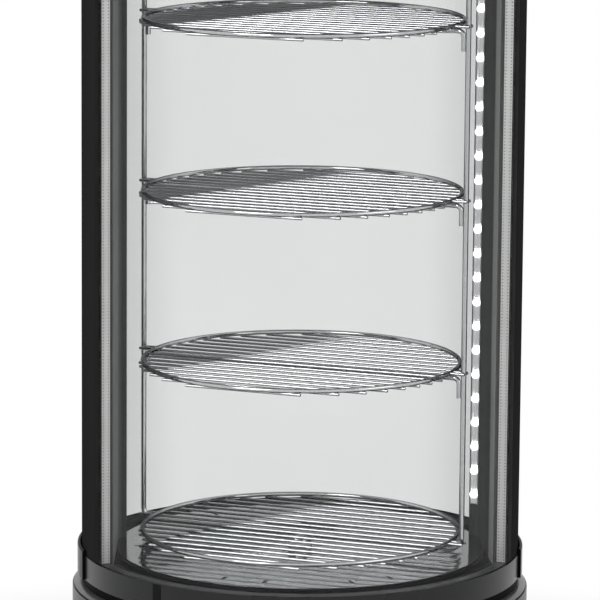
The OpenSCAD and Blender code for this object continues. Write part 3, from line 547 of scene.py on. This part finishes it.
class CASE_OT_base(bpy.types.Operator):
    """Builds the finished casing, rings, aprons, covers and feet of the base"""

    bl_idname = "display_case.base"
    bl_label = "Base"

    def execute(self, context):
        black = shared(black_moulding)
        graphite = shared(graphite_paint)
        shoulder = finish_material(
            "shoulder paint", (0.045, 0.046, 0.048), (0.058, 0.059, 0.062), (0.22, 0.32),
            scale=40, relief=0.05, specular=0.4)
        finished_copy("base_casing", shared(satin_enamel), 0.0004)
        finished_copy("shoulder_ring", shoulder, 0.0006, 3)
        finished_copy("base_rim", black, 0.0008, 3)
        finished_copy("apron_left", graphite, 0.0003)
        finished_copy("apron_front", graphite, 0.0003)
        finished_copy("corner_covers", shared(black_enamel), 0.0012, 3)
        finished_copy("base_deck", black)
        finished_copy("rear_grille", black, 0.0004)
        finished_copy("feet", shared(foot_rubber), 0.0015, 3)
        self.seam_strip()
        return {"FINISHED"}

    def seam_strip(self):
        """The dark strip that covers the joint of the two aprons."""
        sweep, start = 2.55, 227.1
        thickness, short = 0.0004, 0.0004
        sunk = 0.00004
        material = finish_material(
            "seam strip", (0.0075, 0.0075, 0.008), (0.0105, 0.0105, 0.011), (0.35, 0.45),
            scale=60, relief=0.05, specular=0.05)
        face = -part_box("apron_front")[0].y
        low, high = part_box("apron_front")[0].z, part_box("apron_front")[1].z
        section = upright_band(face - sunk, face + thickness, low + short, high - short)
        settle(turned(section, 6, sweep, start), "apron_seam_strip", "cabinet", material)


class CASE_OT_top(bpy.types.Operator):
    """Builds the finished cap, ring, apron and screws of the top"""

    bl_idname = "display_case.top"
    bl_label = "Top"

    def execute(self, context):
        black = shared(black_moulding)
        finished_copy("top_deck", black)
        finished_copy("top_ring", black, 0.0006)
        finished_copy("top_apron", shared(graphite_paint), 0.0003)
        finished_copy("top_cap", shared(satin_enamel), 0)
        finished_copy("cap_screws", shared(zinc_sheet), 0.0003)
        return {"FINISHED"}


class CASE_OT_machinery(bpy.types.Operator):
    """Builds the finished refrigeration parts inside the base"""

    bl_idname = "display_case.machinery"
    bl_label = "Machinery"

    def execute(self, context):
        copper = finish_material("copper tube", (0.50, 0.22, 0.12), (0.66, 0.33, 0.19),
                                 (0.25, 0.4), metal=1, scale=40)
        grey = finish_material("grey case", (0.40, 0.41, 0.42), (0.48, 0.49, 0.50), (0.4, 0.5))
        white = finish_material("white moulding", (0.72, 0.72, 0.70), (0.80, 0.80, 0.78),
                                (0.35, 0.45))
        tray = finish_material("tray moulding", (0.10, 0.10, 0.105), (0.13, 0.13, 0.135),
                               (0.4, 0.5))
        liner = finish_material("moulded liner", (0.016, 0.016, 0.017), (0.024, 0.024, 0.025),
                                (0.35, 0.45), specular=0.1)
        foam = finish_material("white foam", (0.70, 0.69, 0.66), (0.78, 0.77, 0.74), (0.6, 0.7),
                               relief=0.4)
        shell = finish_material("black shell", (0.012, 0.012, 0.013), (0.02, 0.02, 0.021),
                                (0.3, 0.4), coat=0.4)
        blades = finish_material("fan plastic", (0.02, 0.02, 0.022), (0.03, 0.03, 0.033),
                                 (0.4, 0.5))
        finished_copy("base_pan", shared(zinc_sheet), 0.0003)
        finished_copy("compressor_mounts", shared(foot_rubber), 0.0008)
        finished_copy("compressor", shell, 0.0006)
        finished_copy("condenser_fan_frame", blades, 0.0006)
        finished_copy("condenser_fan_blades", blades)
        finished_copy("evaporator_fan_housing", white)
        finished_copy("evaporator_fan_wheel", white, 0.0004)
        finished_copy("rack_motor", grey, 0.0006)
        finished_copy("control_box", grey, 0.0015, 3)
        finished_copy("drip_tray", tray)
        finished_copy("refrigerant_pipes", copper, 0)
        cover(self.fin_material(), "condenser", "evaporator")
        cover(liner, "cold_tub")
        cover(foam, "top_insulation")
        self.shell_seam(shell)
        return {"FINISHED"}

    def fin_material(self):
        """Thin fins side by side along X, with painted shade in the gaps between them."""
        half_pitch = 0.0011
        material, tree, shader = new_material("bare fins")
        gap = reckon(tree, "PINGPONG", own_axis(tree, "X"), half_pitch)
        fin = fade_in(tree, gap, 0.0001, 0.0006)
        # the darker tone between the fins is painted shade
        tones = blend_colours(tree, fin, (0.25, 0.25, 0.26), (0.66, 0.67, 0.68))
        surface(tree, shader, tones, between(tree, grain(tree, 40.0), 0.3, 0.45), 1.0)
        bump(tree, shader, fin, 0.4, 0.0004)
        return material

    def shell_seam(self, material):
        """The welded seam round the compressor's shell, just above its middle."""
        low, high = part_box("compressor")
        centre = Vector((-0.108, -0.042, low.z + (high.z - low.z) * 0.52))
        bpy.ops.object.select_all(action="DESELECT")
        bpy.ops.mesh.primitive_torus_add(major_radius=0.058, minor_radius=0.0016,
                                         major_segments=96, minor_segments=10, location=centre)
        settle(bpy.context.active_object, "compressor_seam", "cabinet", material)


class CASE_OT_chamber(bpy.types.Operator):
    """Builds the finished posts, floor, ceiling and glass seals"""

    bl_idname = "display_case.chamber"
    bl_label = "Chamber"

    def execute(self, context):
        profile = shared(black_profile)
        steel = turned_metal("polished steel", (0.20, 0.205, 0.21), (0.27, 0.275, 0.28),
                             (0.05, 0.09))
        finished_copy("left_post", profile, 0)
        finished_copy("right_post", profile, 0)
        finished_copy("floor_plate", steel, 0.0003)
        finished_copy("ceiling_plate", steel, 0.0003)
        cover(self.spacer_material(), "pane_spacer")
        self.edge_seals()
        self.sill_bead()
        return {"FINISHED"}

    def spacer_material(self):
        """Satin aluminium with two rows of small holes along each bar and dark sealant at its
        inner and lower edges."""
        middle, hole_offset, half_pitch = GLASS_R - 0.0086, 0.0028, 0.0016
        hole_edge = 0.0004, 0.0010
        inner_edge = GLASS_R - 0.0132, GLASS_R - 0.0127
        lower_edge = SILL_Z + 0.0040, SILL_Z + 0.0046
        material, tree, shader = new_material("spacer aluminium")
        out = axis_distance(tree)
        off = reckon(tree, "ABSOLUTE", reckon(tree, "SUBTRACT", out, middle))
        column = reckon(tree, "SUBTRACT", off, hole_offset)
        row = reckon(tree, "PINGPONG", own_axis(tree, "Z"), half_pitch)
        hole = fade_out(tree, flat_length(tree, column, row), *hole_edge)
        plain = blend_colours(tree, grain(tree, 160.0, 3.0, (1, 1, 0.2)), (0.70, 0.70, 0.69),
                              (0.88, 0.88, 0.87))
        metal = blend_colours(tree, hole, plain, (0.25, 0.25, 0.25))
        inner_seal = fade_out(tree, out, *inner_edge)
        low_seal = fade_out(tree, own_axis(tree, "Z"), *lower_edge)
        seal = reckon(tree, "MAXIMUM", inner_seal, low_seal)
        tones = blend_colours(tree, seal, metal, (0.035, 0.035, 0.036))
        surface(tree, shader, tones, between(tree, grain(tree, 60.0), 0.38, 0.5), 0.6)
        bump(tree, shader, hole, 0.3, -0.0003)
        return material

    def edge_seals(self):
        """The black seals behind the outer pane's upright edges, and the bands over them."""
        butyl = finish_material("black sealant", (0.004, 0.004, 0.004), (0.007, 0.007, 0.007),
                                (0.4, 0.5), scale=120, relief=0.2, specular=0.01)
        seal_r, seal_thickness, gap = GLASS_R - 0.00405, 0.0002, 0.0002
        band_sunk, band_proud, band_lift, band_drop = 0.00004, 0.00012, 0.0003, 0.0005
        section = upright_band(seal_r - seal_thickness, seal_r, SILL_Z + gap, CEILING_Z - gap)
        for side, start, sweep in (("left", 200.45, 1.45), ("right", 338.05, 1.5)):
            settle(turned(section, 4, sweep, start), f"{side}_pane_seal", "cabinet", butyl)
        low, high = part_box("apron_front")[1].z + band_lift, CEILING_Z - band_drop
        section = upright_band(GLASS_R - band_sunk, GLASS_R + band_proud, low, high)
        for side, start, sweep in (("left", 200.4, 2.7), ("right", 336.1, 3.5)):
            settle(turned(section, 8, sweep, start), f"{side}_edge_band", "cabinet", butyl)

    def sill_bead(self):
        """A bright bead where the inner pane meets the sill."""
        sweep, start = 137.0, 201.5
        trim = finish_material("sill bead", (0.10, 0.10, 0.105), (0.14, 0.14, 0.145),
                               (0.25, 0.35), metal=1, scale=80)
        outer = CLEAR_R - 0.0005
        section = [(outer, SILL_Z), (outer, SILL_Z + 0.0022), (outer - 0.0008, SILL_Z + 0.0026),
                   (outer - 0.0022, SILL_Z + 0.0008), (outer - 0.0024, SILL_Z)]
        settle(turned(section, 96, sweep, start), "sill_bead", "cabinet", trim)


class CASE_OT_lights(bpy.types.Operator):
    """Builds the light strip with its points and its milky cover"""

    bl_idname = "display_case.lights"
    bl_label = "Light strip"

    def execute(self, context):
        alu = finish_material("satin aluminium", (0.62, 0.62, 0.61), (0.74, 0.74, 0.73),
                              (0.35, 0.45), metal=0.3, stretch=BRUSHED)
        cover(alu, "led_profile")
        points = self.point_material(context.scene.case_finish.light_strength)
        finished_copy("led_chips", points, 0.0003)
        self.light_cover()
        return {"FINISHED"}

    def point_material(self, strength):
        material, tree, shader = new_material("light points")
        tones = blend_colours(tree, grain(tree, 300.0), (0.86, 0.86, 0.84), (0.92, 0.92, 0.90))
        surface(tree, shader, tones, between(tree, grain(tree, 300.0), 0.2, 0.3))
        shader.inputs["Emission Color"].default_value = (1, 1, 1, 1)
        shader.inputs["Emission Strength"].default_value = strength
        return material

    def light_cover(self):
        """A milky strip just in front of the points."""
        half, thickness, short, stand_off = 0.0047, 0.0024, 0.001, 0.0012
        strip = slab((0, -half, LIGHT_LOW + short), (thickness, half, LIGHT_TOP - short), 0.0003)
        out = Vector((math.cos(LIGHT_BEARING), math.sin(LIGHT_BEARING), 0))
        side = Vector((-out.y, out.x, 0))
        face = Vector((LIGHT_CENTRE.x, LIGHT_CENTRE.y, 0)) + out * stand_off
        strip.matrix_world = Matrix.Translation(face) @ Matrix.Rotation(LIGHT_BEARING, 4, "Z")
        settle(strip, "light_cover", "cabinet", self.cover_material(side, face.dot(side)))

    def cover_material(self, side, middle):
        """Milky plastic with clear edges and a round glow over each point."""
        first_point = LIGHT_LOW + LIGHT_PITCH / 2 - 0.0024
        squash, peak, milk, body_cover = 1.45, 5.0, 0.62, 0.52
        glow_edge, body_edge = (0.0034, 0.0058), (0.0036, 0.0040)
        material, tree, output = empty_material("light cover")
        clear = tree.nodes.new("ShaderNodeBsdfTransparent")
        glow = tree.nodes.new("ShaderNodeEmission")
        glow.inputs["Color"].default_value = (0.96, 0.96, 1.0, 1)
        across = reckon_vector(tree, "DOT_PRODUCT", own_point(tree), side)
        sideways = reckon(tree, "ABSOLUTE", reckon(tree, "SUBTRACT", across, middle))
        risen = reckon(tree, "SUBTRACT", own_axis(tree, "Z"), first_point)
        up = reckon(tree, "MULTIPLY", reckon(tree, "PINGPONG", risen, LIGHT_PITCH / 2), squash)
        shine = fade_out(tree, flat_length(tree, sideways, up), *glow_edge)
        body = between(tree, sideways, body_cover, 0.0, *body_edge)
        strength = reckon(tree, "ADD", reckon(tree, "MULTIPLY", shine, peak), milk)
        tree.links.new(strength, glow.inputs["Strength"])
        mix_shaders(tree, reckon(tree, "MAXIMUM", shine, body), clear.outputs["BSDF"],
                    glow.outputs["Emission"], output)
        return material


class CASE_OT_glass(bpy.types.Operator):
    """Finishes the panes of the front and of the door"""

    bl_idname = "display_case.glass"
    bl_label = "Glass"

    def execute(self, context):
        clear = glass_material("clear glass", (0.967, 0.969, 0.968), (0.958, 0.961, 0.960),
                               (0.008, 0.28))
        cover(clear, "outer_pane", "inner_pane", "door_outer_pane", "door_inner_pane")
        return {"FINISHED"}


class CASE_OT_door(bpy.types.Operator):
    """Builds the finished frame, hinge, seal and handle of the rear door"""

    bl_idname = "display_case.door"
    bl_label = "Rear door"

    def execute(self, context):
        profile = shared(black_profile)
        satin = finish_material("satin handle", (0.46, 0.46, 0.47), (0.56, 0.56, 0.57),
                                (0.24, 0.34), metal=1, stretch=BRUSHED)
        pins = finish_material("pin steel", (0.42, 0.42, 0.43), (0.52, 0.52, 0.53), (0.3, 0.4),
                               metal=1)
        finished_copy("door_hinge_stile", profile, 0)
        finished_copy("door_free_stile", profile, 0.0008)
        finished_copy("door_channels", profile, 0.0004)
        finished_copy("door_handle", satin)
        finished_copy("door_gasket", shared(foot_rubber))
        finished_copy("hinge_pins", pins, 0.0004)
        return {"FINISHED"}


class CASE_OT_rack(bpy.types.Operator):
    """Builds the turning rack and its wire shelves"""

    bl_idname = "display_case.rack"
    bl_label = "Rack"

    def execute(self, context):
        sizes = context.scene.case_rack
        chrome = self.chrome()
        white = finish_material("bearing nylon", (0.72, 0.72, 0.70), (0.80, 0.80, 0.78),
                                (0.35, 0.45))
        finished_copy("rack_frame", chrome, 0, angle=40)
        finished_copy("rack_bushes", white)
        finished_copy("drive_shaft", shared(zinc_sheet), 0.0004)
        shelf = self.shelf(sizes)
        for level in (1, 2, 3, 4):
            copy = shelf.copy()
            copy.data = shelf.data.copy()
            context.scene.collection.objects.link(copy)
            copy.location.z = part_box(f"shelf_{level}")[1].z - sizes.ring_thickness / 2
            settle(copy, f"shelf_{level}_wires", "rack", chrome,
                   (f"shelf_{level}",), 40)
        bpy.data.objects.remove(shelf)
        return {"FINISHED"}

    def chrome(self):
        """Chromed wire, with a painted dark reflection where it turns away from the eye."""
        material, tree, shader = new_material("chromed wire")
        # painted reflection: the wire's colour darkens towards its edges, standing in for dark
        # surroundings mirrored there
        rim = fade_in(tree, turned_away(tree, 0.45), 0.30, 0.85)
        cloud = blend_colours(tree, grain(tree, 70.0), (0.60, 0.61, 0.62), (0.68, 0.69, 0.70))
        tones = blend_colours(tree, rim, cloud, (0.07, 0.07, 0.075))
        surface(tree, shader, tones, between(tree, grain(tree, 40.0), 0.05, 0.10), 1.0)
        shader.inputs["Specular Tint"].default_value = (0.3, 0.3, 0.3, 1)
        return material

    def shelf(self, sizes):
        """One shelf: a ring, the wires under it and the two pairs of prongs."""
        bite, overhang = 0.0006, 0.001
        prong_radius, prong_offset, prong_tip, prong_bite = 0.0016, 0.0047, 0.1769, 0.0005
        thick = sizes.ring_thickness / 2
        bpy.ops.object.select_all(action="DESELECT")
        bpy.ops.mesh.primitive_torus_add(major_radius=sizes.ring_radius, minor_radius=thick,
                                         major_segments=160, minor_segments=14)
        parts = [bpy.context.active_object]
        drop = -thick - sizes.wire_radius + bite
        reach = sizes.ring_radius + thick + overhang
        for index in range(sizes.wires):
            across = (index - (sizes.wires - 1) / 2) * sizes.wire_pitch
            end = math.sqrt(reach ** 2 - (abs(across) - sizes.wire_radius) ** 2)
            parts.append(bar((-end, across, drop), (end, across, drop), sizes.wire_radius))
        root = sizes.ring_radius - prong_bite
        for side in (-1, 1):
            for across in (-prong_offset, prong_offset):
                parts.append(bar((side * root, across, 0), (side * prong_tip, across, 0),
                                 prong_radius))
        shelf = joined(parts)
        shelf.rotation_euler = (0, 0, RACK_TURN)
        only(shelf)
        bpy.ops.object.transform_apply(location=True, rotation=True, scale=True)
        return shelf


class CASE_OT_controls(bpy.types.Operator):
    """Builds the control panel, the switches, the keys and the power inlet"""

    bl_idname = "display_case.controls"
    bl_label = "Controls"

    def execute(self, context):
        black = shared(black_moulding)
        red = finish_material("red rocker", (0.50, 0.02, 0.015), (0.58, 0.03, 0.02), (0.2, 0.3),
                              coat=0.4)
        green = finish_material("green rocker", (0.03, 0.28, 0.06), (0.04, 0.34, 0.08),
                                (0.2, 0.3), coat=0.4)
        keys = finish_material("grey keys", (0.42, 0.43, 0.44), (0.5, 0.51, 0.52), (0.4, 0.5))
        finished_copy("control_panel", black, 0.0008, 3)
        finished_copy("power_inlet", black, 0.0004)
        finished_copy("power_switch", red, 0.0006)
        finished_copy("light_switch", green, 0.0006)
        for key in ("button_set", "button_up", "button_down"):
            finished_copy(key, keys, 0.0006)
        return {"FINISHED"}


class CASE_OT_stage(bpy.types.Operator):
    """Adds the floor, the lamps, the world and the camera"""

    bl_idname = "display_case.stage"
    bl_label = "Stage"

    def execute(self, context):
        scene = context.scene
        settings = scene.case_stage
        bpy.ops.object.select_all(action="DESELECT")
        bpy.ops.mesh.primitive_circle_add(vertices=96, radius=30, fill_type="NGON",
                                          location=(0, 0, 0))
        floor = context.active_object
        floor.name = "stage_floor"
        floor.data.materials.append(self.floor_material(settings.floor_colour))
        self.lamp(scene, "key_light", (-2.2, -2.6, 2.4), settings.key_power)
        self.lamp(scene, "fill_light", (2.6, -2.0, 1.6), settings.fill_power)
        self.world(scene)
        self.camera(scene)
        return {"FINISHED"}

    def seen_directly(self, tree):
        """1 for rays that show a surface to the eye, straight on, in a mirror or through glass."""
        path = tree.nodes.new("ShaderNodeLightPath")
        first = reckon(tree, "MAXIMUM", path.outputs["Is Camera Ray"],
                       path.outputs["Is Glossy Ray"])
        return reckon(tree, "MAXIMUM", first, path.outputs["Is Transmission Ray"])

    def floor_material(self, colour):
        """A plain floor that keeps the shadow near the case and is white further out."""
        near, far = 0.35, 0.85
        material, tree, output = empty_material("plain floor")
        shader = tree.nodes.new("ShaderNodeBsdfPrincipled")
        shader.inputs["Base Color"].default_value = (*colour, 1)
        shader.inputs["Roughness"].default_value = 0.7
        glow = tree.nodes.new("ShaderNodeEmission")
        outward = tree.nodes.new("ShaderNodeMapRange")
        outward.interpolation_type = "SMOOTHSTEP"
        outward.inputs["From Min"].default_value = near
        outward.inputs["From Max"].default_value = far
        tree.links.new(reckon_vector(tree, "LENGTH", own_point(tree)), outward.inputs["Value"])
        white = reckon(tree, "MULTIPLY", outward.outputs["Result"], self.seen_directly(tree))
        mix_shaders(tree, white, shader.outputs["BSDF"], glow.outputs["Emission"], output)
        return material

    def lamp(self, scene, name, place, power):
        """A soft lamp that points at the middle of the case."""
        middle, size = Vector((0, 0, 0.55)), 1.6
        aim = middle - Vector(place)
        data = bpy.data.lights.new(name, "AREA")
        data.size = size
        data.energy = power
        lamp = bpy.data.objects.new(name, data)
        lamp.location = place
        lamp.rotation_euler = aim.to_track_quat("-Z", "Y").to_euler()
        scene.collection.objects.link(lamp)

    def world(self, scene):
        """White to the eye, and dimmer as a light."""
        world = bpy.data.worlds.new("studio")
        world.use_nodes = True
        tree = world.node_tree
        background = tree.nodes["Background"]
        background.inputs["Color"].default_value = (1, 1, 1, 1)
        strength = between(tree, self.seen_directly(tree), scene.case_stage.world_level, 1.0,
                           0.0, 1.0)
        tree.links.new(strength, background.inputs["Strength"])
        scene.world = world

    def camera(self, scene):
        """Stands where the photograph was taken from, by the fit of the rings and the posts."""
        distance, sideways, above_floor = 4.3076, -0.0019, 1.0116
        azimuth, pitch, roll = math.radians(-2.8), math.radians(9.99), math.radians(0.44)
        focal_pixels, width_pixels, sensor = 4344, 600, 36.0
        data = bpy.data.cameras.new("photo_camera")
        data.sensor_width = sensor
        data.lens = focal_pixels / width_pixels * sensor
        data.clip_start, data.clip_end = 0.1, 60
        camera = bpy.data.objects.new("photo_camera", data)
        turn = (Matrix.Rotation(azimuth, 4, "Z") @ Matrix.Rotation(math.radians(90) - pitch, 4, "X")
                @ Matrix.Rotation(roll, 4, "Z"))
        place = Vector((distance * math.sin(azimuth) + sideways, -distance * math.cos(azimuth),
                        FLOOR_Z + above_floor))
        camera.matrix_world = Matrix.Translation(place) @ turn
        scene.collection.objects.link(camera)
        scene.camera = camera


class CASE_PT_panel(bpy.types.Panel):
    """Lists the steps that build the case and their settings"""

    bl_label = "Display case"
    bl_idname = "CASE_PT_panel"
    bl_space_type = "VIEW_3D"
    bl_region_type = "UI"
    bl_category = "Display case"

    def draw(self, context):
        for operator in OPERATORS:
            self.layout.operator(operator.bl_idname)
        scene = context.scene
        for settings in (scene.case_finish, scene.case_rack, scene.case_stage):
            for name in settings.__annotations__:
                self.layout.prop(settings, name)


OPERATORS = (CASE_OT_base, CASE_OT_top, CASE_OT_machinery, CASE_OT_chamber, CASE_OT_lights,
             CASE_OT_glass, CASE_OT_door, CASE_OT_rack, CASE_OT_controls, CASE_OT_stage)
CLASSES = (CaseFinish, RackSizes, StageSettings, *OPERATORS, CASE_PT_panel)


def register():
    for cls in CLASSES:
        bpy.utils.register_class(cls)
    bpy.types.Scene.case_finish = PointerProperty(type=CaseFinish)
    bpy.types.Scene.case_rack = PointerProperty(type=RackSizes)
    bpy.types.Scene.case_stage = PointerProperty(type=StageSettings)


def unregister():
    del bpy.types.Scene.case_finish
    del bpy.types.Scene.case_rack
    del bpy.types.Scene.case_stage
    for cls in reversed(CLASSES):
        bpy.utils.unregister_class(cls)


def main():
    register()
    bpy.context.scene.view_settings.view_transform = "Standard"
    bpy.ops.display_case.base()
    bpy.ops.display_case.top()
    bpy.ops.display_case.machinery()
    bpy.ops.display_case.chamber()
    bpy.ops.display_case.lights()
    bpy.ops.display_case.glass()
    bpy.ops.display_case.door()
    bpy.ops.display_case.rack()
    bpy.ops.display_case.controls()
    bpy.ops.display_case.stage()


if __name__ == "__main__":
    main()
